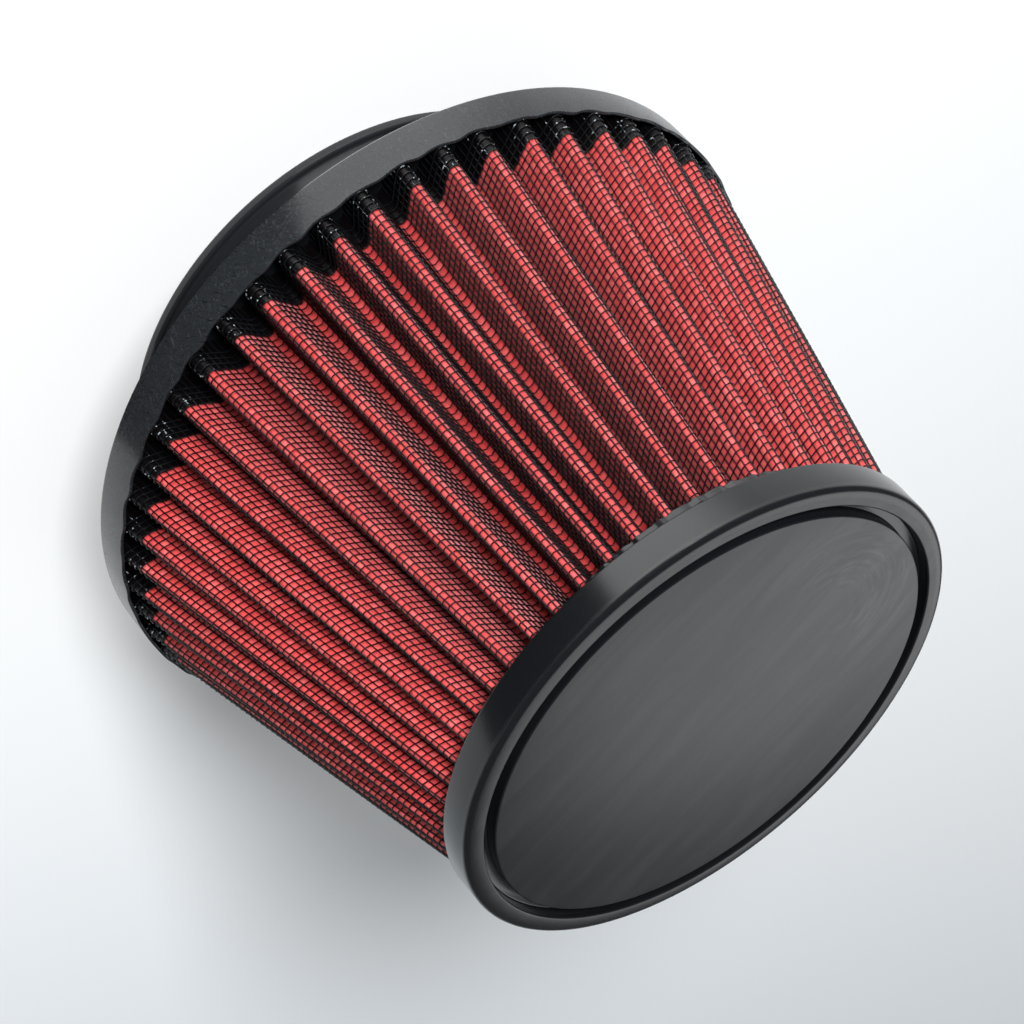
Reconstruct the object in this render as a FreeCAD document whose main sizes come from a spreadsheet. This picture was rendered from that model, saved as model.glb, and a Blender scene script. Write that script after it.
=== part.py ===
import FreeCAD, Part
import math
import os

import Sketcher

# Conical clamp-on air filter, standing on its open neck with the closed cap up.
# Millimetres, +Z up, origin at the centre of the neck's rim.

# Driving dimensions: alias, value in mm (or a count), what it is
DIMENSIONS = [
    ("bore_diameter", 95.25, "inside diameter of the neck, the size of the intake pipe"),
    ("neck_wall", 6.0, "wall of the neck at the clamp land"),
    ("neck_length", 23.6, "rim of the neck to the back of the base ring"),
    ("lip_height", 2.6, "height of the rim lip that keeps the clamp on"),
    ("lip_stand", 1.4, "how far the rim lip stands out from the clamp land"),
    ("ring_diameter", 152.4, "outside diameter of the base ring"),
    ("ring_height", 8.8, "height of the base ring"),
    ("ring_bevel", 0.8, "bevel at the back edge of the base ring"),
    ("pleat_count", 52, "number of pleats"),
    ("pleat_depth", 7.8, "tip to valley at the base ring, outside face"),
    ("tip_fold_radius", 0.3, "inside radius of a fold at a pleat tip"),
    ("valley_fold_radius", 1.3, "inside radius of a fold at a pleat valley"),
    ("fold_facets", 2, "flats that stand for one rounded fold"),
    ("outer_screen_gauge", 0.4, "thickness of the outer wire screen"),
    ("media_gauge", 0.7, "thickness of the gauze"),
    ("inner_screen_gauge", 0.4, "thickness of the inner wire screen"),
    ("pack_height", 86.4, "height of the pleat pack between the mouldings"),
    ("pack_ring_inset", 0.4, "pleat tips inside the edge of the base ring"),
    ("pack_top_diameter", 109.2, "circle of the pleat tips under the cap"),
    ("cap_overhang", 2.1, "cap edge outside the pleat tips"),
    ("cap_height", 7.9, "height of the end cap"),
    ("cap_bevel", 1.1, "bevel at the outer top edge of the cap"),
    ("cap_rim_width", 4.2, "flat rim between the cap's edge and its groove"),
    ("groove_width", 2.5, "width of the groove around the cap's disc"),
    ("groove_depth", 3.0, "depth of the groove around the cap's disc"),
    ("disc_bevel", 0.4, "bevel at the edge of the cap's disc"),
]

doc = FreeCAD.newDocument("air_filter")


def make_sheet():
    sheet = doc.addObject("Spreadsheet::Sheet", "Sizes")
    for row, (alias, value, note) in enumerate(DIMENSIONS, start=1):
        sheet.set("A%d" % row, str(value))
        sheet.setAlias("A%d" % row, alias)
        sheet.set("B%d" % row, note)
    doc.recompute()
    return sheet


sizes = make_sheet()


# Heights and radii that several pieces share, as expressions on the sheet
BORE = "Sizes.bore_diameter / 2"
LAND = BORE + " + Sizes.neck_wall"
LIP = LAND + " + Sizes.lip_stand"
RING = "Sizes.ring_diameter / 2"
RING_BACK = "Sizes.neck_length"
RING_FRONT = RING_BACK + " + Sizes.ring_height"
CAP_BACK = RING_FRONT + " + Sizes.pack_height"
CAP_FACE = CAP_BACK + " + Sizes.cap_height"
CAP = "Sizes.pack_top_diameter / 2 + Sizes.cap_overhang"
GROOVE_OUTSIDE = CAP + " - Sizes.cap_rim_width"
GROOVE_INSIDE = GROOVE_OUTSIDE + " - Sizes.groove_width"
GROOVE_FLOOR = CAP_FACE + " - Sizes.groove_depth"


def measure(expression):
    """The value in mm of an expression on the sheet."""
    return float(sizes.evalExpression(expression))


def origin_plane(body, role):
    return next(item for item in body.Origin.OriginFeatures if item.Role == role)


def profile_sketch(body, name, corners):
    """A closed outline in the XZ plane; each corner is a pair of expressions, radius and height."""
    sketch = body.newObject("Sketcher::SketchObject", name)
    sketch.AttachmentSupport = [(origin_plane(body, "XZ_Plane"), "")]
    sketch.MapMode = "FlatFace"
    points = [FreeCAD.Vector(measure(radius), measure(height), 0) for radius, height in corners]
    count = len(points)
    for index in range(count):
        sketch.addGeometry(Part.LineSegment(points[index], points[(index + 1) % count]), False)
    for index in range(count):
        sketch.addConstraint(Sketcher.Constraint("Coincident", index, 2, (index + 1) % count, 1))
    for index, (radius, height) in enumerate(corners):
        pin_corner(sketch, index, "DistanceX", -2, radius, points[index].x)
        pin_corner(sketch, index, "DistanceY", -1, height, points[index].y)
    return sketch


def pin_corner(sketch, index, direction, axis, expression, value):
    """Hold one coordinate of a corner at its expression, or on the axis where it is zero."""
    if expression == "0":
        sketch.addConstraint(Sketcher.Constraint("PointOnObject", index, 1, axis))
        return
    number = sketch.addConstraint(Sketcher.Constraint(direction, -1, 1, index, 1, value))
    sketch.setExpression("Constraints[%d]" % number, expression)


def revolve(body, sketch, name):
    feature = body.newObject("PartDesign::Revolution", name)
    feature.Profile = sketch
    feature.ReferenceAxis = (sketch, ["V_Axis"])
    feature.Angle = 360
    doc.recompute()
    return feature


def bevel_edge(body, base, name, ring, size):
    """Bevel the circular edge at the given pair of radius and height."""
    number = edge_number(base.Shape.Edges, *ring)
    feature = body.newObject("PartDesign::Chamfer", name)
    feature.Base = (base, ["Edge%d" % number])
    feature.setExpression("Size", "Sizes." + size)
    doc.recompute()
    return feature


def edge_number(edges, radius, height):
    """The number of the circular edge at a radius and a height, both expressions."""
    for number, edge in enumerate(edges, start=1):
        if not isinstance(edge.Curve, Part.Circle):
            continue
        same_radius = math.isclose(edge.Curve.Radius, measure(radius))
        if same_radius and math.isclose(edge.Curve.Center.z, measure(height)):
            return number
    raise RuntimeError("no circular edge at " + radius)


def new_body(label):
    body = doc.addObject("PartDesign::Body", label)
    body.Label = label
    return body


def make_base_flange():
    """One urethane moulding: the base ring that pots the pleats, and the neck behind it."""
    body = new_body("base_flange")
    corners = [
        (BORE, "0"),
        (LIP, "0"),
        (LIP, "Sizes.lip_height"),
        (LAND, "Sizes.lip_height"),
        (LAND, RING_BACK),
        (RING, RING_BACK),
        (RING, RING_FRONT),
        (BORE, RING_FRONT),
    ]
    solid = revolve(body, profile_sketch(body, "flange_section", corners), "flange_ring")
    bevel_edge(body, solid, "ring_edge", (RING, RING_BACK), "ring_bevel")
    return body


def make_end_cap():
    """One urethane moulding: a flat disc inside a narrow groove and a plain rim."""
    body = new_body("end_cap")
    corners = [
        ("0", CAP_BACK),
        (CAP, CAP_BACK),
        (CAP, CAP_FACE),
        (GROOVE_OUTSIDE, CAP_FACE),
        (GROOVE_OUTSIDE, GROOVE_FLOOR),
        (GROOVE_INSIDE, GROOVE_FLOOR),
        (GROOVE_INSIDE, CAP_FACE),
        ("0", CAP_FACE),
    ]
    solid = revolve(body, profile_sketch(body, "cap_section", corners), "cap_disc")
    solid = bevel_edge(body, solid, "rim_edge", (CAP, CAP_FACE), "cap_bevel")
    bevel_edge(body, solid, "disc_edge", (GROOVE_INSIDE, CAP_FACE), "disc_bevel")
    return body


def pleat_outline(depth_in_sheet):
    """Corners of the pleat section at the base ring, at a depth below the pack's outer face.

    A tip fold and a valley fold are arcs about fixed centres, joined by their common inner tangent,
    so that the faces of all layers are parallel.
    """
    count = round(sizes.pleat_count)
    facets = round(sizes.fold_facets)
    half_pitch = math.pi / count
    gauge = sizes.outer_screen_gauge + sizes.media_gauge + sizes.inner_screen_gauge
    tip_arc = sizes.tip_fold_radius + gauge
    valley_arc = sizes.valley_fold_radius
    tip_reach = measure(RING) - sizes.pack_ring_inset
    tip_centre = FreeCAD.Vector(tip_reach - tip_arc, 0, 0)
    valley_reach = tip_reach - sizes.pleat_depth + valley_arc
    valley_centre = spoke(valley_reach, half_pitch)
    between = valley_centre - tip_centre
    lean = math.atan2(between.y, between.x) - math.acos((tip_arc + valley_arc) / between.Length)

    corners = []
    for pleat in range(count):
        turn = FreeCAD.Rotation(FreeCAD.Vector(0, 0, 1), math.degrees(2 * half_pitch * pleat))
        for step in range(facets + 1):
            angle = lean * (2 * step / facets - 1)
            corner = tip_centre + spoke(tip_arc - depth_in_sheet, angle)
            corners.append(turn.multVec(corner))
        for step in range(facets + 1):
            angle = half_pitch + math.pi - (half_pitch - lean) * (1 - 2 * step / facets)
            corner = valley_centre + spoke(valley_arc + depth_in_sheet, angle)
            corners.append(turn.multVec(corner))
    return corners


def spoke(length, angle):
    return FreeCAD.Vector(length * math.cos(angle), length * math.sin(angle), 0)


def lift(corners, scale, height):
    return [FreeCAD.Vector(corner.x * scale, corner.y * scale, height) for corner in corners]


def loop(corners):
    return Part.makePolygon(corners + corners[:1])


def make_sheet_layer(label, outside, inside):
    """One pleated layer of the pack, between two depths below the pack's outer face.

    All its lines run to one point above the cap, so each strip between two of them is flat.
    """
    low = measure(RING_FRONT)
    high = measure(CAP_BACK)
    taper = sizes.pack_top_diameter / 2 / (measure(RING) - sizes.pack_ring_inset)
    sections = [pleat_outline(outside), pleat_outline(inside)]
    feet = [lift(section, 1, low) for section in sections]
    heads = [lift(section, taper, high) for section in sections]
    faces = [Part.Face([loop(outer), loop(inner[::-1])]) for outer, inner in (feet, heads)]
    for foot, head in zip(feet, heads):
        for index in range(len(foot)):
            strip = [foot[index - 1], foot[index], head[index], head[index - 1]]
            faces.append(Part.Face(loop(strip)))
    shell = Part.makeShell(faces)
    shell.sewShape()
    layer = doc.addObject("Part::Feature", label)
    layer.Label = label
    layer.Shape = Part.makeSolid(shell)
    layer.Placement = FreeCAD.Placement()
    return layer


def make_pleat_pack():
    """Wire screen, gauze and wire screen, pleated together and drawn into a cone."""
    media_face = sizes.outer_screen_gauge
    media_back = media_face + sizes.media_gauge
    pack_back = media_back + sizes.inner_screen_gauge
    return [
        make_sheet_layer("outer_screen", 0, media_face),
        make_sheet_layer("filter_media", media_face, media_back),
        make_sheet_layer("inner_screen", media_back, pack_back),
    ]


def check_and_write(pieces):
    doc.recompute()
    failed = [item.Name for item in doc.Objects if {"Invalid", "Error"} & set(item.State)]
    if failed:
        raise RuntimeError("failed objects: " + ", ".join(failed))
    for piece in pieces:
        if piece.Shape.isNull() or not piece.Shape.isValid() or len(piece.Shape.Solids) != 1:
            raise RuntimeError("bad shape: " + piece.Label)
    os.makedirs("parts", exist_ok=True)
    for piece in pieces:
        piece.Shape.exportStep("parts/%s.step" % piece.Label)
        print(piece.Label, "volume", round(piece.Shape.Volume), "faces", len(piece.Shape.Faces))


check_and_write([make_base_flange(), make_end_cap()] + make_pleat_pack())
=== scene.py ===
"""Conical air filter: red pleated gauze between wire screens, a base ring with a neck, and an end cap."""

import math

import bpy
import numpy as np
from bpy.props import FloatProperty, FloatVectorProperty, IntProperty, PointerProperty
from mathutils import Matrix, Vector


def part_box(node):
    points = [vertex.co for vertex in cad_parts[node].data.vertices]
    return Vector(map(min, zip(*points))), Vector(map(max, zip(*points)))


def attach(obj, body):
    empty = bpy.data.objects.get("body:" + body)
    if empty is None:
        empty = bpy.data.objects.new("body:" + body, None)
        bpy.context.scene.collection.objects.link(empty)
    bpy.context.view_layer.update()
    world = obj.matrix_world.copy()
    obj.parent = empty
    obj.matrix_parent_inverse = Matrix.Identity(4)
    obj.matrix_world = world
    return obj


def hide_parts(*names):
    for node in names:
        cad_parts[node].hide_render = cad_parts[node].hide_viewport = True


bl_info = {
    "name": "Pleated Cone Air Filter",
    "version": (1, 0, 0),
    "blender": (4, 5, 0),
    "location": "View3D > Sidebar > Air Filter",
    "description": "Dresses a conical air filter with its pleated gauze, wire screens and mouldings",
    "category": "Add Mesh",
}

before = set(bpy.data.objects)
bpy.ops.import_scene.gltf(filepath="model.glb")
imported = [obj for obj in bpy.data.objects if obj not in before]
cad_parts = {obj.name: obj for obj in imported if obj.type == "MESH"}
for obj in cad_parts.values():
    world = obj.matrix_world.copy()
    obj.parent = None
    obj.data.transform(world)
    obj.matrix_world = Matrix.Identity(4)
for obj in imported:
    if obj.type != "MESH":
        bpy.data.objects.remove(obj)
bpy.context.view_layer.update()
FLANGE_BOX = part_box("base_flange")
PACK_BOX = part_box("outer_screen")
CAP_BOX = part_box("end_cap")
BODY = "root"
MM = 0.001

# Straight steps of the gauze and of a wire across one pleat
GAUZE_STEPS = 24
WIRE_STEPS = 8
# Straight steps of a wire along a pleat, on the outer and on the inner screen
OUTER_WARP_STEPS = 8
INNER_WARP_STEPS = 6
# Straight steps around a moulding for each pleat, and around a rounded corner of a profile
TURN_STEPS = 8
ARC_STEPS = 5
# Corners of a mesh that are closer than this are one corner
SAME_PLACE = 2e-6

# Rows of the gauze, as shares of the pack's height: close to the ring, between, and close to the cap
RING_ROWS = (0, 0.018, 0.036, 0.052, 0.066)
MIDDLE_ROWS = tuple(np.linspace(0.1, 0.93, 11))
CAP_ROWS = (0.96, 0.98, 1)

# Uneven spread of the pleats around the filter: waves per turn, amplitude and phase in radians
SWAY = (
    (1, 0.0393, -3.06),
    (2, 0.0244, -1.25),
    (3, 0.0030, -3.09),
    (4, 0.0082, -1.01),
    (5, 0.0035, 2.39),
    (11, 0.0014, 1.3),
    (19, 0.0022, 4.1),
    (31, 0.0020, 0.7),
)
# Ragged edges of the ring's lip and of the cap's flash: waves per turn, amplitude and phase
RING_RAGGED = ((31, 0.10 * MM, 1.0), (67, 0.08 * MM, 0.0))
CAP_RAGGED = ((83, 0.25 * MM, 0.0), (131, 0.2 * MM, 1.0))

# Centre of the arcs that wiping left on the cap's disc
WIPED_X = -30.6 * MM
WIPED_Y = -2.7 * MM

# Colours of the stage
FLOOR_NEAR = (1, 1, 1)
FLOOR_PAINTED_SHADE = (0.78, 0.815, 0.84)
SKY = (0.96, 0.98, 1)
SKY_REFLECTED = (0.45, 0.47, 0.5)
LAMP_TINT = (0.95, 0.98, 1)


def number(name, description, default, least):
    return IntProperty(name=name, description=description, default=default, min=least)


def length(name, description, default):
    return FloatProperty(
        name=name, description=description, default=default, unit="LENGTH", precision=5
    )


def tint(name, description, default):
    return FloatVectorProperty(
        name=name, description=description, default=default, size=3, subtype="COLOR", min=0, max=1
    )


class AirFilterSizes(bpy.types.PropertyGroup):
    """Sizes of the filter's pieces, in its own frame."""

    pleat_count: number("Pleats", "Pleats around the pack", 52, least=3)
    pleat_depth: length("Pleat depth", "Depth of a pleat at the base ring", 7.8 * MM)
    cap_pleat_depth: length("Depth at the cap", "Depth of a pleat at the end cap", 8.3 * MM)
    tip_fold: length("Tip fold", "Outer radius of the fold at a pleat's tip", 1.8 * MM)
    valley_fold: length("Valley fold", "Outer radius of the fold between two pleats", 0.95 * MM)
    base_reach: length("Reach at the ring", "Radius of the pleat tips at the base ring", PACK_BOX[1].x)
    cap_reach: length("Reach at the cap", "Radius of the pleat tips at the end cap", 54.6 * MM)
    pack_low: length("Pack bottom", "Height of the pleats' lower end", PACK_BOX[0].z)
    pack_high: length("Pack top", "Height of the pleats' upper end", PACK_BOX[1].z)
    potted: length("Resin height", "Height that resin climbs up the pleats from the ring", 4.7 * MM)
    gauze_depth: length("Gauze depth", "Depth of the gauze below the pack's outer face", 0.55 * MM)
    gauze_gauge: length("Gauze thickness", "Thickness of the gauze", 0.45 * MM)
    wire: length("Wire", "Diameter of the screen's wires", 0.33 * MM)
    weft_rows: number("Wires across", "Wires that run around the pack", 57, least=2)
    warp_wires: number("Wires along", "Wires that run along the pleats", 618, least=8)
    outer_weft: length("Outer wires across", "Their depth below the pack's outer face", 0.17 * MM)
    outer_warp: length("Outer wires along", "Their depth below the pack's outer face", 0.32 * MM)
    inner_weft: length("Inner wires across", "Their depth below the pack's outer face", 1.32 * MM)
    inner_warp: length("Inner wires along", "Their depth below the pack's outer face", 1.18 * MM)
    ring_radius: length("Ring radius", "Radius of the base ring", FLANGE_BOX[1].x)
    ring_back: length("Ring back", "Height of the base ring's back", 23.6 * MM)
    recess: length("Recess", "Depth of the recess inside the ring's lip", 4.2 * MM)
    recess_outside: length("Recess outside", "From the ring's edge to the recess", 0.75 * MM)
    recess_inside: length("Recess inside", "From the ring's edge to the recess's far side", 11.4 * MM)
    bore: length("Bore", "Radius of the neck's bore", 47.625 * MM)
    land: length("Clamp land", "Radius of the neck where a clamp sits", 53.625 * MM)
    lip_stand: length("Lip stand", "How far the neck's lip stands out from the clamp land", 1.4 * MM)
    lip_height: length("Lip height", "Height of the neck's lip", 2.6 * MM)
    cap_radius: length("Cap radius", "Radius of the end cap", CAP_BOX[1].x)
    groove_outside: length("Groove outside", "Outer radius of the cap's groove", 52.5 * MM)
    groove_inside: length("Groove inside", "Inner radius of the cap's groove", 50.15 * MM)
    groove_depth: length("Groove depth", "Depth of the cap's groove", 3 * MM)


class AirFilterFinish(bpy.types.PropertyGroup):
    """Colours of the filter."""

    urethane: tint("Urethane", "Satin black moulding", (0.0062, 0.0070, 0.0082))
    gauze: tint("Gauze", "Oiled cotton gauze", (0.85, 0.095, 0.093))
    # Painted shade: the gauze next to the wires, which also takes darker random tone
    gauze_shade: tint("Gauze shade", "Gauze close to the wires", (0.50, 0.030, 0.030))
    # Painted sheen: a pale pink highlight in the middle of some cells
    gauze_painted_sheen: tint("Gauze light", "Gauze in the middle of the palest cells", (0.90, 0.20, 0.20))
    # Painted shade: the gauze darkened in the valleys between two pleats
    gauze_valley_shade: tint("Gauze deep", "Gauze in the valleys between the pleats", (0.16, 0.008, 0.008))
    wire: tint("Wire", "Coated screen wire", (0.004, 0.0045, 0.0055))
    # Painted glints: pale specks on the wires near the pleat tips at the ring
    speck: tint("Speck", "Specks of resin on the wires at the ring", (0.30, 0.34, 0.36))
    resin: tint("Resin", "Resin on the pleat ends", (0.0022, 0.0016, 0.0018))


class Socket:
    """An output of a shader node, which Python's operators join to Math nodes."""

    def __init__(self, paint, output):
        self.paint = paint
        self.output = output

    def math(self, operation, *values):
        inputs = dict(enumerate((self, *values)))
        return self.paint.node("ShaderNodeMath", {"operation": operation}, inputs)

    def __add__(self, other):
        return self.math("ADD", other)

    __radd__ = __add__

    def __sub__(self, other):
        return self.math("SUBTRACT", other)

    def __rsub__(self, other):
        return -self + other

    def __neg__(self):
        return self * -1

    def __mul__(self, other):
        return self.math("MULTIPLY", other)

    def __truediv__(self, other):
        return self.math("DIVIDE", other)

    def __pow__(self, other):
        return self.math("POWER", other)

    def sine(self):
        return self.math("SINE")

    def floor(self):
        return self.math("FLOOR")

    def fraction(self):
        return self.math("FRACT")

    def size(self):
        return self.math("ABSOLUTE")

    def larger(self, other):
        return self.math("MAXIMUM", other)

    def atan2(self, other):
        return self.math("ARCTAN2", other)

    def between(self, low, high):
        """0 at low, 1 at high, with a smooth change."""
        settings = {"interpolation_type": "SMOOTHSTEP"}
        inputs = {"Value": self, "From Min": low, "From Max": high}
        return self.paint.node("ShaderNodeMapRange", settings, inputs)

    def part(self, name):
        """Another output of the same node."""
        return Socket(self.paint, self.output.node.outputs[name])


class Paint:
    """The nodes of one finish, in a material or in the world."""

    def __init__(self, owner):
        self.owner = owner
        owner.use_nodes = True
        self.tree = owner.node_tree
        self.tree.nodes.clear()

    def node(self, kind, settings=None, inputs=None):
        """Adds a node: its settings first, then the values and links of its sockets."""
        made = self.tree.nodes.new(kind)
        for name, value in (settings or {}).items():
            setattr(made, name, value)
        for name, value in (inputs or {}).items():
            socket = made.inputs[name]
            if isinstance(value, Socket):
                self.tree.links.new(value.output, socket)
            else:
                socket.default_value = value
        shown = [output for output in made.outputs if output.enabled]
        return Socket(self, shown[0]) if shown else None

    def place(self):
        return self.node("ShaderNodeTexCoord").part("Object")

    def noise(self, place, scale, detail, roughness, distortion=0.0):
        inputs = {
            "Vector": place,
            "Scale": scale,
            "Detail": detail,
            "Roughness": roughness,
            "Distortion": distortion,
        }
        return self.node("ShaderNodeTexNoise", {"noise_dimensions": "3D"}, inputs)

    def split(self, place):
        """The three coordinates of a place."""
        apart = self.node("ShaderNodeSeparateXYZ", None, {0: place})
        return apart, apart.part("Y"), apart.part("Z")

    def joined(self, x, y, z):
        return self.node("ShaderNodeCombineXYZ", None, {"X": x, "Y": y, "Z": z})

    def mix(self, share, first, second):
        """A colour between two colours."""
        settings = {"data_type": "RGBA", "clamp_factor": True}
        first = first if isinstance(first, Socket) else (*first, 1)
        second = second if isinstance(second, Socket) else (*second, 1)
        return self.node("ShaderNodeMix", settings, {"Factor": share, 6: first, 7: second})

    def bump(self, height, strength, distance, normal=None):
        inputs = {"Height": height, "Strength": strength, "Distance": distance}
        if normal:
            inputs["Normal"] = normal
        return self.node("ShaderNodeBump", None, inputs)

    def shader(self, varied, fixed):
        """A surface, from what varies over it and from its own constants."""
        return self.node("ShaderNodeBsdfPrincipled", None, {**varied, **fixed})

    def glow(self, colour, strength):
        return self.node("ShaderNodeEmission", None, {"Color": colour, "Strength": strength})

    def layered(self, share, below, above):
        return self.node("ShaderNodeMixShader", None, {0: share, 1: below, 2: above})

    def finish(self, surface, output="ShaderNodeOutputMaterial"):
        self.node(output, None, {"Surface": surface})
        return self.owner


def new_paint(name):
    return Paint(bpy.data.materials.new(name))


def scaled(colour, scale, lift=0.0):
    """A colour times a scale, lifted by the same amount in each channel."""
    return tuple(value * scale + lift for value in colour)


def ripple(angle, waves):
    """A sum of waves around the axis, each given as waves per turn, amplitude and phase."""
    return sum(size * np.sin(per_turn * angle + phase) for per_turn, size, phase in waves)


def polar(places):
    """Radius and angle of places about the axis."""
    return np.hypot(places[:, 0], places[:, 1]), np.arctan2(places[:, 1], places[:, 0])


class Fold:
    """Half a pleat in section: a rounded tip on the x axis, a straight flank and a rounded valley."""

    def __init__(self, reach, depth, tip_fold, valley_fold, half_pitch):
        self.half_pitch = half_pitch
        self.tip_fold = tip_fold
        self.valley_fold = valley_fold
        self.tip = np.array((reach - tip_fold, 0.0))
        valley_reach = reach - depth + valley_fold
        self.valley = valley_reach * np.array((math.cos(half_pitch), math.sin(half_pitch)))
        between = self.valley - self.tip
        span = np.hypot(*between)
        folds = tip_fold + valley_fold
        self.lean = math.atan2(between[1], between[0]) - math.acos(folds / span)
        tip_run = tip_fold * self.lean
        flank_run = math.sqrt(span ** 2 - folds ** 2)
        valley_run = valley_fold * (self.lean - half_pitch)
        self.run = tip_run + flank_run + valley_run
        self.tip_end = tip_run / self.run
        self.flank_end = (tip_run + flank_run) / self.run

    def at(self, share, depth):
        """Places on the section, from 0 in the middle of the tip to 1 in the middle of the valley."""
        arc = self.lean * share / self.tip_end
        flank = (share - self.tip_end) / (self.flank_end - self.tip_end)
        turn = (share - self.flank_end) / (1 - self.flank_end)
        straight = np.full_like(share, self.lean)
        valley_arc = math.pi + self.lean + (self.half_pitch - self.lean) * turn
        on_tip = self.spoke(self.tip, self.tip_fold - depth, arc)
        leave = self.spoke(self.tip, self.tip_fold - depth, straight)
        arrive = self.spoke(self.valley, self.valley_fold + depth, math.pi + straight)
        on_flank = leave + (arrive - leave) * flank[:, None]
        in_valley = self.spoke(self.valley, self.valley_fold + depth, valley_arc)
        where = np.where((share < self.tip_end)[:, None], on_tip, on_flank)
        return np.where((share > self.flank_end)[:, None], in_valley, where)

    def spoke(self, centre, radius, angle):
        radius = np.broadcast_to(radius, angle.shape)
        return centre + np.stack((radius * np.cos(angle), radius * np.sin(angle)), axis=1)


class PleatPack:
    """Where the pleats run: points by their place along the folded section, height and depth."""

    def __init__(self, sizes):
        self.count = sizes.pleat_count
        self.low = sizes.pack_low
        self.high = sizes.pack_high
        self.height = self.high - self.low
        self.taper = sizes.cap_reach / sizes.base_reach
        self.pitch = 2 * math.pi / self.count
        self.base = Fold(
            sizes.base_reach, sizes.pleat_depth, sizes.tip_fold, sizes.valley_fold, self.pitch / 2
        )
        self.cap = Fold(
            sizes.cap_reach,
            sizes.cap_pleat_depth,
            sizes.tip_fold * self.taper,
            sizes.valley_fold * self.taper,
            self.pitch / 2,
        )
        # Ends of the pleats in the ring's recess, where the share of the height is below 0
        self.sunk = -sizes.recess / self.height

    def points(self, along, up, depth):
        """Points in the filter's frame. along counts pleats; up is 0 at the ring and 1 at the cap."""
        pleat = np.floor(along)
        within = along - pleat
        share = 2 * np.minimum(within, 1 - within)
        climb = np.maximum(up, 0)
        foot = self.base.at(share, depth)
        head = self.cap.at(share, depth * self.taper)
        where = foot + (head - foot) * climb[:, None]
        reach, angle = polar(where)
        angle = np.where(within > 0.5, self.pitch - angle, angle) + pleat * self.pitch
        reach = reach + ripple(angle, ((17, 0.10 * MM, 2.0 + up), (27, 0.08 * MM, -3.0 * up)))
        angle = angle + ripple(angle, SWAY)
        height = self.low + self.height * up
        return np.stack((reach * np.cos(angle), reach * np.sin(angle), height), axis=1)

    def to_bends(self, along):
        """Moves evenly spaced columns to a pleat's bends: four steps on a tip, two in a valley."""
        tip = self.base.tip_end / 2
        flank = self.base.flank_end / 2
        into_valley = flank + (0.5 - flank) * 0.15
        stops = [0, tip / 2, tip, into_valley]
        stops = stops + [0.5] + [1 - stop for stop in stops[::-1]]
        pleat = np.floor(along + SAME_PLACE)
        within = (along - pleat) * WIRE_STEPS
        return pleat + np.interp(within, np.arange(WIRE_STEPS + 1), stops)


def only(piece):
    bpy.ops.object.select_all(action="DESELECT")
    piece.select_set(True)
    bpy.context.view_layer.objects.active = piece


def name_active(name):
    """Names the object that was just made, and its data."""
    piece = bpy.context.active_object
    piece.name = name
    piece.data.name = name
    return piece


def grid(name, columns, rows):
    """A flat grid, one unit each way, centred on the origin."""
    bpy.ops.object.select_all(action="DESELECT")
    bpy.ops.mesh.primitive_grid_add(x_subdivisions=columns, y_subdivisions=rows, size=1)
    return name_active(name)


def plane(name, size):
    bpy.ops.object.select_all(action="DESELECT")
    bpy.ops.mesh.primitive_plane_add(size=size)
    return name_active(name)


def corners(piece):
    places = np.zeros(len(piece.data.vertices) * 3)
    piece.data.vertices.foreach_get("co", places)
    return places.reshape(-1, 3)


def set_corners(piece, places):
    piece.data.vertices.foreach_set("co", places.reshape(-1))
    piece.data.update()


def merge_and_turn_out(piece):
    """Joins corners in one place and turns the faces out. The piece stays selected."""
    only(piece)
    bpy.ops.object.mode_set(mode="EDIT")
    bpy.ops.mesh.select_all(action="SELECT")
    bpy.ops.mesh.remove_doubles(threshold=SAME_PLACE)
    bpy.ops.mesh.normals_make_consistent(inside=False)
    bpy.ops.object.mode_set(mode="OBJECT")


def wires(name, pack, columns, rows, across, depth, gauge, start=0.0):
    """Wires of a screen, cut from a folded grid: those across the pleats, or those along them."""
    piece = grid(name, columns, rows)
    flat = corners(piece)
    ends = np.zeros(len(piece.data.edges) * 2, dtype=int)
    piece.data.edges.foreach_get("vertices", ends)
    first, second = ends.reshape(-1, 2).T
    runs_across = np.abs(flat[first, 1] - flat[second, 1]) < SAME_PLACE
    along = (flat[:, 0] + 0.5) * pack.count
    if across:
        along = pack.to_bends(along)
    up = start + (1 - start) * (flat[:, 1] + 0.5)
    set_corners(piece, pack.points(along, up, depth))
    keep_edges(piece, runs_across if across else ~runs_across)
    return tubes(name, gauge)


def keep_edges(piece, wanted):
    """Takes off the faces and the other edges, and closes the seam. The piece stays selected."""
    only(piece)
    bpy.ops.object.mode_set(mode="EDIT")
    bpy.ops.mesh.select_mode(type="EDGE")
    bpy.ops.mesh.select_all(action="DESELECT")
    bpy.ops.object.mode_set(mode="OBJECT")
    piece.data.edges.foreach_set("select", ~wanted)
    bpy.ops.object.mode_set(mode="EDIT")
    bpy.ops.mesh.delete(type="EDGE_FACE")
    bpy.ops.mesh.select_all(action="SELECT")
    bpy.ops.mesh.remove_doubles(threshold=SAME_PLACE)
    bpy.ops.object.mode_set(mode="OBJECT")


def tubes(name, gauge):
    """Makes a tube around each edge of the selected piece."""
    bpy.ops.object.convert(target="CURVE")
    curve = bpy.context.active_object.data
    curve.bevel_depth = gauge / 2
    curve.bevel_resolution = 0
    curve.use_fill_caps = True
    bpy.ops.object.convert(target="MESH")
    bpy.ops.object.shade_smooth()
    return name_active(name)


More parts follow.
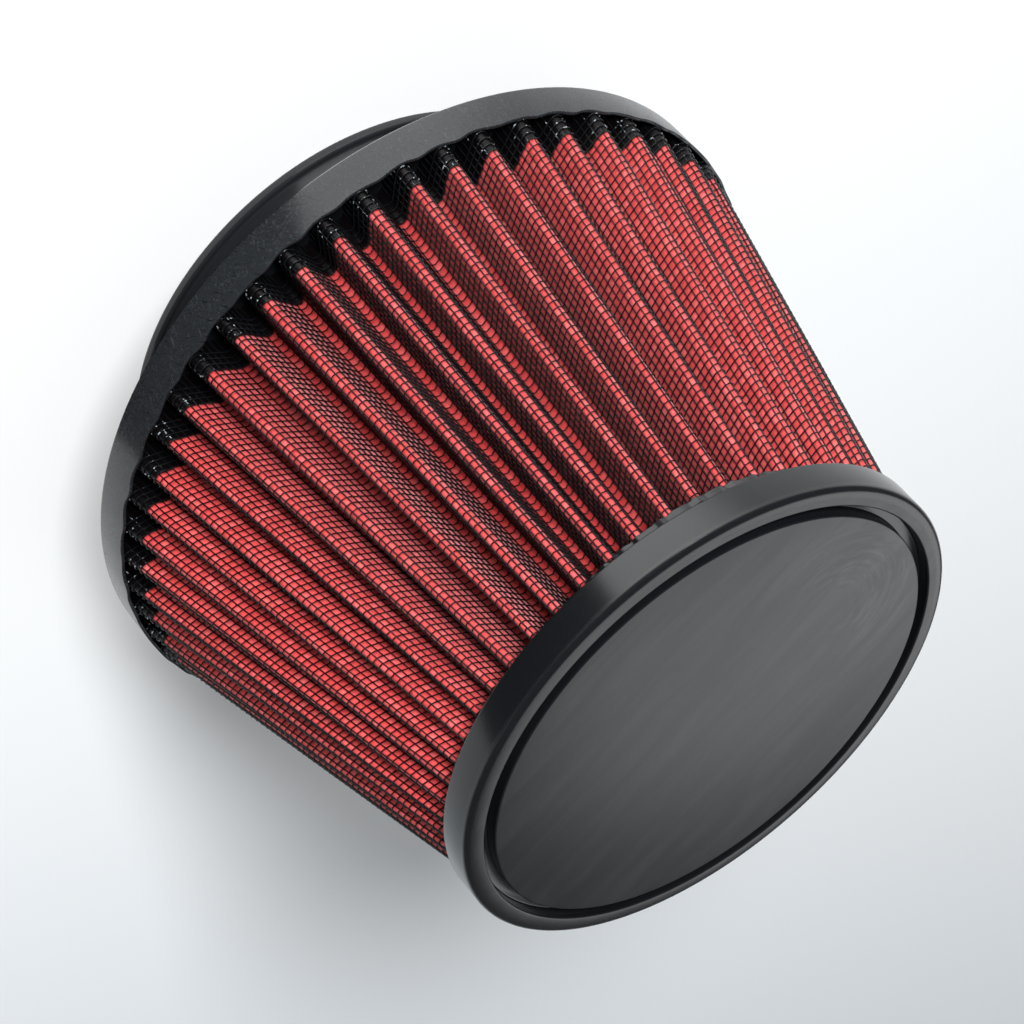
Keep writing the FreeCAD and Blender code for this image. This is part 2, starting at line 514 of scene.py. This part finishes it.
def turned(name, profile, segments):
    """A moulding turned from a circle, extruded ring by ring along a profile of radius and height."""
    bpy.ops.object.select_all(action="DESELECT")
    radius, height = profile[0]
    bpy.ops.mesh.primitive_circle_add(vertices=segments, radius=radius)
    piece = name_active(name)
    bpy.ops.object.mode_set(mode="EDIT")
    bpy.ops.mesh.select_all(action="SELECT")
    bpy.ops.transform.translate(value=(0, 0, height))
    for next_radius, next_height in profile[1:]:
        rise = (0, 0, next_height - height)
        bpy.ops.mesh.extrude_edges_move(TRANSFORM_OT_translate={"value": rise})
        spread = next_radius / radius
        bpy.ops.transform.resize(value=(spread, spread, 1), center_override=(0, 0, next_height))
        radius, height = next_radius, next_height
    bpy.ops.object.mode_set(mode="OBJECT")
    return piece


def close_poles(piece, radius):
    """Draws the first and last ring of a turned piece together on the axis."""
    places = corners(piece)
    reach, _ = polar(places)
    places[reach < radius, :2] = 0
    set_corners(piece, places)


def rounded(outline, closed):
    """Points of a profile whose corners, given as radius, height and rounding in mm, are arcs."""
    made = []
    count = len(outline)
    for index, (radius, height, rounding) in enumerate(outline):
        corner = Vector((radius, height))
        at_end = not closed and index in (0, count - 1)
        if at_end or rounding == 0:
            made.append(corner)
            continue
        before = Vector(outline[index - 1][:2]) - corner
        after = Vector(outline[(index + 1) % count][:2]) - corner
        opening = before.angle(after)
        cut = rounding / math.tan(opening / 2)
        middle = (before.normalized() + after.normalized()).normalized()
        centre = corner + middle * (rounding / math.sin(opening / 2))
        start = corner + before.normalized() * cut - centre
        end = corner + after.normalized() * cut - centre
        sweep = start.angle_signed(end)
        for step in range(ARC_STEPS + 1):
            turn = Matrix.Rotation(-sweep * step / ARC_STEPS, 2)
            made.append(centre + turn @ start)
    if closed:
        made.append(made[0])
    return [(point.x * MM, point.y * MM) for point in made]


def dress(piece, material, node):
    piece.data.materials.clear()
    piece.data.materials.append(material)
    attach(piece, BODY)
    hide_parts(node)


def urethane_paint(finish):
    """Satin black moulding, chalky on the base ring's band, with wiping marks on the cap."""
    paint = new_paint("satin_urethane")
    place = paint.place()
    x, y, z = paint.split(place)
    reach = (x * x + y * y) ** 0.5
    angle = y.atan2(x)
    ring = FLANGE_BOX[1].x
    face = CAP_BOX[1].z
    # Where a place is: on the ring's band, on the cap's disc, on the cap's upper edge or on the neck
    band = reach.between(ring - 1.2 * MM, ring - 0.4 * MM)
    disc = z.between(face - 0.12 * MM, face - 0.08 * MM)
    edge = z.between(face - 2.0 * MM, face - 1.6 * MM) * (1 - disc)
    neck = 1 - z.between(20.5 * MM, 22.5 * MM)
    cloud = paint.noise(place, scale=16, detail=2, roughness=0.5, distortion=0.3).between(0.3, 0.7)
    speck = paint.noise(place, scale=1500, detail=3, roughness=0.7).between(0.45, 0.75)
    patch = paint.noise(place, scale=150, detail=3, roughness=0.6).between(0.38, 0.66)
    # A thin chalk film on the band, and an even lightening of the neck, with specks that lie closer in
    # patches of the band
    film = band * 0.34 + neck * 0.28
    chalk = film + band * speck * (0.14 + patch * 0.36) + speck * 0.05
    # Dark strokes and pale scratches cross the band at two slants
    slanted = paint.joined(angle * 210 + z * 1500, z * 330 - angle * 16, reach * 50)
    stroke = paint.noise(slanted, scale=1, detail=1, roughness=0.5, distortion=0.3)
    stroke = stroke.between(0.66, 0.70) * band
    slanted = paint.joined(angle * 190 - z * 900, z * 300 + angle * 22, reach * 50)
    scratch = paint.noise(slanted, scale=1, detail=1, roughness=0.5, distortion=0.3)
    scratch = scratch.between(0.68, 0.72) * band
    wipe = wiping_marks(paint, x, y) * disc
    base = tuple(finish.urethane)
    dusty = scaled(base, 3.0, lift=0.012)
    deep = scaled(base, 0.75)
    colour = paint.mix(cloud, deep, base)
    colour = paint.mix(chalk + scratch * 0.8 + wipe * 0.42, colour, dusty)
    colour = paint.mix(stroke * 0.9, colour, deep)
    roughness = 0.2 + disc * 0.1 + edge * 0.06 + neck * 0.2 + chalk * 0.14 + wipe * 0.08
    grain = paint.noise(place, scale=2600, detail=2, roughness=0.6)
    normal = paint.bump(grain, strength=0.08, distance=0.05 * MM)
    normal = paint.bump(chalk - stroke, strength=0.2, distance=0.1 * MM, normal=normal)
    varied = {
        "Base Color": colour,
        "Roughness": roughness,
        "Normal": normal,
        "Coat Weight": wipe * 0.6 + edge * 0.2,
    }
    fixed = {"IOR": 1.5, "Specular IOR Level": 0.5, "Coat Roughness": 0.3}
    return paint.finish(paint.shader(varied, fixed))


def wiping_marks(paint, x, y):
    """Marks of a cloth on the cap's disc: slanted streaks, and arcs on one side of a centre."""
    slanted = paint.joined(x * 26 + y * 14, y * 150 - x * 34, 0)
    streaks = paint.noise(slanted, scale=1, detail=4, roughness=0.6, distortion=0.6).between(0.35, 0.75)
    off_x = x - WIPED_X
    off_y = y - WIPED_Y
    away = (off_x * off_x + off_y * off_y) ** 0.5
    circled = paint.joined(away * 800, off_y.atan2(off_x) * 1.6, 0)
    arcs = paint.noise(circled, scale=1, detail=4, roughness=0.65, distortion=0.5).between(0.4, 0.8)
    arcs = arcs * away.between(3 * MM, 9 * MM) * (1 - away.between(14 * MM, 30 * MM))
    arcs = arcs * (-off_x).between(-8 * MM, 6 * MM)
    return streaks * 0.34 + arcs * 0.75


def gauze_paint(sizes, finish):
    """Oiled red cotton that pillows through the mesh, with black resin on both ends."""
    paint = new_paint("oiled_gauze")
    place = paint.place()
    z = paint.split(place)[2]
    u = paint.split(paint.node("ShaderNodeUVMap", {"uv_map": "UVMap"}))[0]
    cloth = cloth_shader(paint, sizes, finish, place, z, u)
    # Resin ends in a ragged line above the ring and another below the cap
    ragged = paint.noise(place, scale=420, detail=2, roughness=0.5) - 0.5
    low_edge = sizes.pack_low + sizes.potted
    high_edge = sizes.pack_high - 1.2 * MM
    above_ring = (z + ragged * (1.6 * MM)).between(low_edge - 0.4 * MM, low_edge + 0.3 * MM)
    at_cap = (z + ragged * (3 * MM)).between(high_edge - 0.2 * MM, high_edge + 0.5 * MM)
    lump = paint.noise(place, scale=1500, detail=2, roughness=0.6)
    normal = paint.bump(lump, strength=0.5, distance=0.2 * MM)
    varied = {"Roughness": 0.34 + lump * 0.2, "Normal": normal}
    fixed = {"Base Color": (*finish.resin, 1), "Specular IOR Level": 0.22}
    resin = paint.shader(varied, fixed)
    return paint.finish(paint.layered((1 - above_ring).larger(at_cap), cloth, resin))


def cloth_shader(paint, sizes, finish, place, z, u):
    """The gauze itself, which varies from cell to cell of the mesh, with painted shade towards the wires
    and in the valleys, and a painted sheen in the middle of some cells.
    """
    # Wires passed on the way across and up, so that each whole number is a cell
    across = u * sizes.warp_wires
    up = (z - sizes.pack_low) / (sizes.pack_high - sizes.pack_low) * sizes.weft_rows
    pillow = ((across.fraction() * math.pi).sine() * (up.fraction() * math.pi).sine()) ** 0.6
    threads_in_cell = 6
    twist = threads_in_cell * 2 * math.pi
    thread = (across * twist).sine() * (up * twist).sine()
    blotch = paint.noise(place, scale=55, detail=3, roughness=0.55).between(0.3, 0.7)
    lint = paint.noise(place, scale=900, detail=3, roughness=0.65).between(0.35, 0.75)
    cells = paint.joined(across.floor(), up.floor(), 0)
    cell = paint.node("ShaderNodeTexWhiteNoise", {"noise_dimensions": "2D"}, {"Vector": cells})
    # Painted shade: darker towards the wires at the edges of each cell, mixed with random tone from lint,
    # blotches and cells
    shade = pillow * 0.5 + lint * 0.3 + blotch * 0.15 + cell * 0.4 - 0.2
    colour = paint.mix(shade, finish.gauze_shade, finish.gauze)
    # Painted sheen: a pale pink highlight in the middle of some cells
    colour = paint.mix(cell.between(0.6, 1.0) * pillow * 0.4, colour, finish.gauze_painted_sheen)
    # Painted shade: the gauze is darkened towards the middle of each valley
    valley = 1 - ((u * sizes.pleat_count).fraction() - 0.5).size() * 2
    colour = paint.mix(valley.between(0.45, 0.95) * 0.5, colour, finish.gauze_valley_shade)
    relief = pillow + lint * 0.35 + thread * 0.12
    normal = paint.bump(relief, strength=0.7, distance=0.22 * MM)
    varied = {"Base Color": colour, "Roughness": 0.52 - lint * 0.08, "Normal": normal}
    fixed = {"IOR": 1.47, "Sheen Weight": 0.3, "Sheen Roughness": 0.4, "Sheen Tint": (1, 0.6, 0.62, 1)}
    return paint.shader(varied, fixed)


def wire_paint(sizes, finish):
    """Glossy black coated wire, dusty in places, with painted glints as pale specks near the pleat tips at
    the ring.
    """
    paint = new_paint("coated_wire")
    place = paint.place()
    x, y, z = paint.split(place)
    reach = (x * x + y * y) ** 0.5
    resin_top = sizes.pack_low + sizes.potted
    potted = 1 - z.between(resin_top - 0.8 * MM, resin_top)
    tip = reach.between(sizes.base_reach - 3.4 * MM, sizes.base_reach - 2.2 * MM)
    dust = paint.noise(place, scale=700, detail=2, roughness=0.6).between(0.55, 0.8)
    # Painted glints: pale specks on the wires in the resin, close to the pleat tips
    speck = paint.noise(place, scale=1300, detail=1, roughness=0.5).between(0.62, 0.68) * potted * tip
    colour = paint.mix(dust, finish.wire, scaled(finish.wire, 2.2, lift=0.004))
    colour = paint.mix(speck, colour, finish.speck)
    pooled = potted * (1 - tip)
    varied = {"Base Color": colour, "Roughness": 0.2 + dust * 0.2 + pooled * 0.45}
    return paint.finish(paint.shader(varied, {"IOR": 1.5, "Specular IOR Level": 0.5}))


class AIRFILTER_OT_gauze(bpy.types.Operator):
    """Fold the red gauze into pleats and roll it into a cone"""

    bl_idname = "air_filter.gauze"
    bl_label = "Pleated Gauze"
    bl_options = {"REGISTER", "UNDO"}

    def execute(self, context):
        sizes = context.scene.air_filter
        pack = PleatPack(sizes)
        heights = np.array((pack.sunk, *RING_ROWS, *MIDDLE_ROWS, *CAP_ROWS))
        rows = len(heights) - 1
        piece = grid("gauze", pack.count * GAUZE_STEPS, rows)
        flat = corners(piece)
        up = heights[np.rint((flat[:, 1] + 0.5) * rows).astype(int)]
        # Resin lifts the gauze a little, up to where it ends on the pleats
        climb = sizes.potted / pack.height
        soaked = np.interp(up, (climb * 0.9, climb * 1.15), (1, 0))
        depth = sizes.gauze_depth - 0.08 * MM * soaked
        set_corners(piece, pack.points((flat[:, 0] + 0.5) * pack.count, up, depth))
        merge_and_turn_out(piece)
        wall = piece.modifiers.new("thickness", "SOLIDIFY")
        wall.thickness = sizes.gauze_gauge
        wall.offset = -1
        bpy.ops.object.modifier_apply(modifier=wall.name)
        bpy.ops.object.shade_smooth_by_angle(angle=math.radians(50))
        dress(piece, gauze_paint(sizes, context.scene.air_filter_finish), "filter_media")
        slant = math.hypot(pack.high - pack.low, sizes.base_reach - sizes.cap_reach)
        wide = 2 * pack.base.run * pack.count
        cut = (pack.base.run + pack.cap.run) * pack.count * slant
        return {"FINISHED"}


class AIRFILTER_OT_outer_screen(bpy.types.Operator):
    """Lay the outer wire screen over the pleats"""

    bl_idname = "air_filter.outer_screen"
    bl_label = "Outer Wire Screen"
    bl_options = {"REGISTER", "UNDO"}

    def execute(self, context):
        sizes = context.scene.air_filter
        pack = PleatPack(sizes)
        paint = wire_paint(sizes, context.scene.air_filter_finish)
        weft = wires(
            "outer_screen_weft",
            pack,
            columns=pack.count * WIRE_STEPS,
            rows=sizes.weft_rows,
            across=True,
            depth=sizes.outer_weft,
            gauge=sizes.wire,
        )
        dress(weft, paint, "outer_screen")
        warp = wires(
            "outer_screen_warp",
            pack,
            columns=sizes.warp_wires,
            rows=OUTER_WARP_STEPS,
            across=False,
            depth=sizes.outer_warp,
            gauge=sizes.wire,
            start=pack.sunk,
        )
        dress(warp, paint, "outer_screen")
        return {"FINISHED"}


class AIRFILTER_OT_inner_screen(bpy.types.Operator):
    """Lay the inner wire screen under the pleats, with half as many wires across"""

    bl_idname = "air_filter.inner_screen"
    bl_label = "Inner Wire Screen"
    bl_options = {"REGISTER", "UNDO"}

    def execute(self, context):
        sizes = context.scene.air_filter
        pack = PleatPack(sizes)
        paint = wire_paint(sizes, context.scene.air_filter_finish)
        weft = wires(
            "inner_screen_weft",
            pack,
            columns=pack.count * WIRE_STEPS,
            rows=sizes.weft_rows // 2,
            across=True,
            depth=sizes.inner_weft,
            gauge=sizes.wire,
        )
        dress(weft, paint, "inner_screen")
        warp = wires(
            "inner_screen_warp",
            pack,
            columns=sizes.warp_wires,
            rows=INNER_WARP_STEPS,
            across=False,
            depth=sizes.inner_warp,
            gauge=sizes.wire,
        )
        dress(warp, paint, "inner_screen")
        return {"FINISHED"}


class AIRFILTER_OT_base_flange(bpy.types.Operator):
    """Turn the base ring with its neck"""

    bl_idname = "air_filter.base_flange"
    bl_label = "Base Ring and Neck"
    bl_options = {"REGISTER", "UNDO"}

    def execute(self, context):
        sizes = context.scene.air_filter
        ring = sizes.ring_radius / MM
        back = sizes.ring_back / MM
        front = sizes.pack_low / MM
        bore = sizes.bore / MM
        land = sizes.land / MM
        lip = land + sizes.lip_stand / MM
        lip_top = sizes.lip_height / MM
        outside = ring - sizes.recess_outside / MM
        inside = ring - sizes.recess_inside / MM
        floor = front - sizes.recess / MM
        outline = [
            (bore, front, 0.6),
            (bore, 0.0, 0.7),
            (lip, 0.0, 1.0),
            (lip, lip_top, 0.7),
            (land, lip_top, 0.6),
            (land, back, 1.6),
            (ring, back, 0.8),
            (ring, front, 0.25),
            (outside, front, 0.25),
            (outside, floor, 0.3),
            (inside, floor, 0.3),
            (inside, front, 0.4),
        ]
        segments = sizes.pleat_count * TURN_STEPS
        piece = turned("base_ring", rounded(outline, closed=True), segments)
        merge_and_turn_out(piece)
        self.scallop(piece, sizes)
        bpy.ops.object.shade_smooth_by_angle(angle=math.radians(40))
        dress(piece, urethane_paint(context.scene.air_filter_finish), "base_flange")
        return {"FINISHED"}

    def scallop(self, piece, sizes):
        """Lifts the ring's front lip at each pleat, and makes it a little ragged."""
        places = corners(piece)
        reach, angle = polar(places)
        lip = (reach > sizes.ring_radius - 1.2 * MM) & (places[:, 2] > sizes.pack_low - 0.8 * MM)
        height = 0.6 * MM
        drop = 0.15 * MM
        wave = 0.5 + 0.5 * np.cos(sizes.pleat_count * angle)
        lift = height * wave ** 1.5 - drop + ripple(angle, RING_RAGGED)
        places[lip, 2] += lift[lip]
        set_corners(piece, places)


class AIRFILTER_OT_end_cap(bpy.types.Operator):
    """Turn the closed end cap with its groove"""

    bl_idname = "air_filter.end_cap"
    bl_label = "End Cap"
    bl_options = {"REGISTER", "UNDO"}

    def execute(self, context):
        sizes = context.scene.air_filter
        face = CAP_BOX[1].z / MM
        rim_top = face - 0.2
        floor = face - sizes.groove_depth / MM
        back = sizes.pack_high / MM
        flash_end = back - 1.7
        plug_end = back - 3.8
        # A small hole on the axis, which is closed later
        pole = 0.4
        inside = sizes.groove_inside / MM
        outside = sizes.groove_outside / MM
        rim = sizes.cap_radius / MM
        flash_root = rim - 0.55
        flash = rim - 0.75
        plug = rim - 5.5
        outline = [
            (pole, face, 0),
            (inside, face, 0.35),
            (inside, floor, 0.3),
            (outside, floor, 0.3),
            (outside, face, 0.4),
            (rim, rim_top, 1.25),
            (rim, back, 0.5),
            (flash_root, back, 0.1),
            (flash, flash_end, 0.3),
            (plug, plug_end, 0.4),
            (pole, plug_end, 0),
        ]
        segments = sizes.pleat_count * TURN_STEPS
        piece = turned("end_cap_moulding", rounded(outline, closed=False), segments)
        close_poles(piece, (pole + 0.1) * MM)
        self.trim_flash(piece, sizes)
        merge_and_turn_out(piece)
        bpy.ops.object.shade_smooth_by_angle(angle=math.radians(40))
        dress(piece, urethane_paint(context.scene.air_filter_finish), "end_cap")
        return {"FINISHED"}

    def trim_flash(self, piece, sizes):
        """Draws the flash below the cap in, apart from one side where it is full and ragged."""
        full_side = math.radians(-115)
        spread = math.radians(26)
        width = 2.8 * MM
        places = corners(piece)
        reach, angle = polar(places)
        flash = (places[:, 2] < sizes.pack_high - 0.05 * MM) & (reach > 20 * MM)
        full = np.exp(-(((angle - full_side) / spread) ** 2))
        drawn_in = (1 - full) * width + ripple(angle, CAP_RAGGED) * full
        places[flash, 0] -= (drawn_in * np.cos(angle))[flash]
        places[flash, 1] -= (drawn_in * np.sin(angle))[flash]
        set_corners(piece, places)


class AIRFILTER_OT_stage(bpy.types.Operator):
    """Set the pale floor, the cards, the lamps and the camera"""

    bl_idname = "air_filter.stage"
    bl_label = "Stage"
    bl_options = {"REGISTER", "UNDO"}

    def execute(self, context):
        self.floor()
        self.world(context)
        self.dark_card()
        self.bright_card()
        self.glint_card()
        key = self.lamp("key_lamp", place=(-0.28, -1.12, 0.82), size=0.45, power=28.5)
        key.visible_glossy = False
        self.lamp("back_lamp", place=(-0.31, 1.15, 0.95), size=0.97, power=3.5)
        self.camera(context)
        context.scene.view_settings.view_transform = "Standard"
        return {"FINISHED"}

    def floor(self):
        """A pale floor with painted shade, greyer towards +X and +Y, that glows a little, and more in front
        of the filter, where the glow lightens the filter's shadow.
        """
        floor = plane("floor", size=12)
        paint = new_paint("pale_floor")
        x, y, _ = paint.split(paint.place())
        # Painted shade: the floor greys towards +X and +Y, as a broad shadow of the filter and a falloff of
        # the lamps
        far = (x * 0.85 + y * 0.5).between(-0.02, 0.36)
        shade = paint.mix(far, FLOOR_NEAR, FLOOR_PAINTED_SHADE)
        matt = paint.node("ShaderNodeBsdfDiffuse", None, {"Color": shade})
        path = paint.node("ShaderNodeLightPath")
        seen = path.part("Is Camera Ray").larger(path.part("Is Glossy Ray"))
        # Painted light: the floor glows for camera and glossy rays, much more in front of the filter, where
        # it lightens the filter's shadow
        front = 1 - y.between(0.0, 0.08)
        surface = paint.layered(seen * (0.03 + front * 0.42), matt, paint.glow(shade, strength=1))
        floor.data.materials.append(paint.finish(surface))

    def world(self, context):
        """An even grey sky, darker where glossy pieces reflect it."""
        paint = Paint(bpy.data.worlds.new("studio"))
        reflected = paint.node("ShaderNodeLightPath").part("Is Glossy Ray")
        colour = paint.mix(reflected, SKY, SKY_REFLECTED)
        sky = paint.node("ShaderNodeBackground", None, {"Color": colour, "Strength": 0.225})
        context.scene.world = paint.finish(sky, "ShaderNodeOutputWorld")

    def dark_card(self):
        """A dark card that lies in front of the filter, on the side of +X."""
        paint = new_paint("dark_card")
        matt = paint.node("ShaderNodeBsdfDiffuse", None, {"Color": (0.01, 0.01, 0.01, 1)})
        places = ((-8.4, -29.5, 2), (3.5, -786, 2), (721, -244, 2), (710, -1000, 2))
        self.card("dark_card", places, paint.finish(matt))

    def bright_card(self):
        """A lit card beside the dark one, on the side of -X, dimmer at its far edge and near the filter."""
        paint = new_paint("bright_card")
        x, y, _ = paint.split(paint.place())
        near_x = -9 * MM
        near_y = -30 * MM
        along = (near_y - y).atan2(near_x - x)
        fade = along.between(math.radians(20), math.radians(55))
        out = (x * x + y * y).between((60 * MM) ** 2, (200 * MM) ** 2)
        level = paint.mix(fade * (0.48 + out * 0.52), (0.32, 0.32, 0.32), (1, 1, 1))
        places = ((-9.4, -29.5, 2), (2.5, -786, 2), (-900, -354, 2), (-900, -800, 2))
        self.card("bright_card", places, paint.finish(paint.glow(level, strength=3.1)))

    def glint_card(self):
        """A small lit card low in front, on the side of -X, which leaves a glint on edges and wires."""
        paint = new_paint("glint_card")
        places = ((-730, -950, 100), (-610, -1030, 100), (-730, -950, 210), (-610, -1030, 210))
        self.card("glint_card", places, paint.finish(paint.glow((1, 1, 1, 1), strength=16)))

    def card(self, name, places, material):
        """A card with the given corners, in mm, which is seen only in what reflects it."""
        card = plane(name, size=1)
        set_corners(card, np.array(places) * MM)
        card.data.materials.append(material)
        card.visible_camera = False
        card.visible_diffuse = False
        card.visible_shadow = False
        card.visible_transmission = False
        card.visible_volume_scatter = False

    def lamp(self, name, place, size, power):
        """A round lamp, aimed at the middle of the filter."""
        bpy.ops.object.select_all(action="DESELECT")
        bpy.ops.object.light_add(type="AREA", location=place)
        lamp = name_active(name)
        lamp.data.shape = "DISK"
        lamp.data.size = size
        lamp.data.energy = power
        lamp.data.color = LAMP_TINT
        middle = Vector((0, 0, 70 * MM))
        aim = middle - Vector(place)
        lamp.rotation_mode = "QUATERNION"
        lamp.rotation_quaternion = aim.to_track_quat("-Z", "Y")
        return lamp

    def camera(self, context):
        """Looks down on the filter from 33 degrees, rolled so that the cap is at the lower right."""
        elevation = math.radians(32.65)
        azimuth = math.radians(1.57)
        roll = math.radians(138.4)
        image_width = 1024
        sensor_width = 36
        # Focal length, and place of the middle of the cap's disc, in pixels
        focal = 3140
        disc_x, disc_y = 712.7, 719.5
        distance = 601.8 * MM
        turn = Matrix.Rotation(azimuth, 3, "Z")
        ahead = turn @ Vector((0, math.cos(elevation), -math.sin(elevation)))
        level = turn @ Vector((1, 0, 0))
        upright = level.cross(ahead)
        right = math.sin(roll) * upright + math.cos(roll) * level
        up = math.cos(roll) * upright - math.sin(roll) * level
        to_disc = ahead * distance
        to_disc += right * ((disc_x - image_width / 2) / focal * distance)
        to_disc -= up * ((disc_y - image_width / 2) / focal * distance)
        bpy.ops.object.select_all(action="DESELECT")
        bpy.ops.object.camera_add()
        camera = name_active("camera")
        camera.data.sensor_width = sensor_width
        camera.data.lens = focal / image_width * sensor_width
        axes = Matrix((right, up, -ahead)).transposed()
        place = Vector((0, 0, CAP_BOX[1].z)) - to_disc
        camera.matrix_world = Matrix.Translation(place) @ axes.to_4x4()
        context.scene.camera = camera


class AIRFILTER_PT_panel(bpy.types.Panel):
    """Pieces, sizes and colours of the air filter"""

    bl_idname = "AIRFILTER_PT_panel"
    bl_label = "Air Filter"
    bl_space_type = "VIEW_3D"
    bl_region_type = "UI"
    bl_category = "Air Filter"

    def draw(self, context):
        layout = self.layout
        for operator in OPERATORS:
            layout.operator(operator.bl_idname)
        for group in (context.scene.air_filter, context.scene.air_filter_finish):
            box = layout.box()
            for name in group.__annotations__:
                box.prop(group, name)


OPERATORS = (
    AIRFILTER_OT_gauze,
    AIRFILTER_OT_outer_screen,
    AIRFILTER_OT_inner_screen,
    AIRFILTER_OT_base_flange,
    AIRFILTER_OT_end_cap,
    AIRFILTER_OT_stage,
)
CLASSES = (AirFilterSizes, AirFilterFinish, *OPERATORS, AIRFILTER_PT_panel)


def register():
    for item in CLASSES:
        bpy.utils.register_class(item)
    bpy.types.Scene.air_filter = PointerProperty(type=AirFilterSizes)
    bpy.types.Scene.air_filter_finish = PointerProperty(type=AirFilterFinish)


def unregister():
    del bpy.types.Scene.air_filter_finish
    del bpy.types.Scene.air_filter
    for item in reversed(CLASSES):
        bpy.utils.unregister_class(item)


def main():
    register()
    bpy.ops.air_filter.gauze()
    bpy.ops.air_filter.outer_screen()
    bpy.ops.air_filter.inner_screen()
    bpy.ops.air_filter.base_flange()
    bpy.ops.air_filter.end_cap()
    bpy.ops.air_filter.stage()


if __name__ == "__main__":
    main()
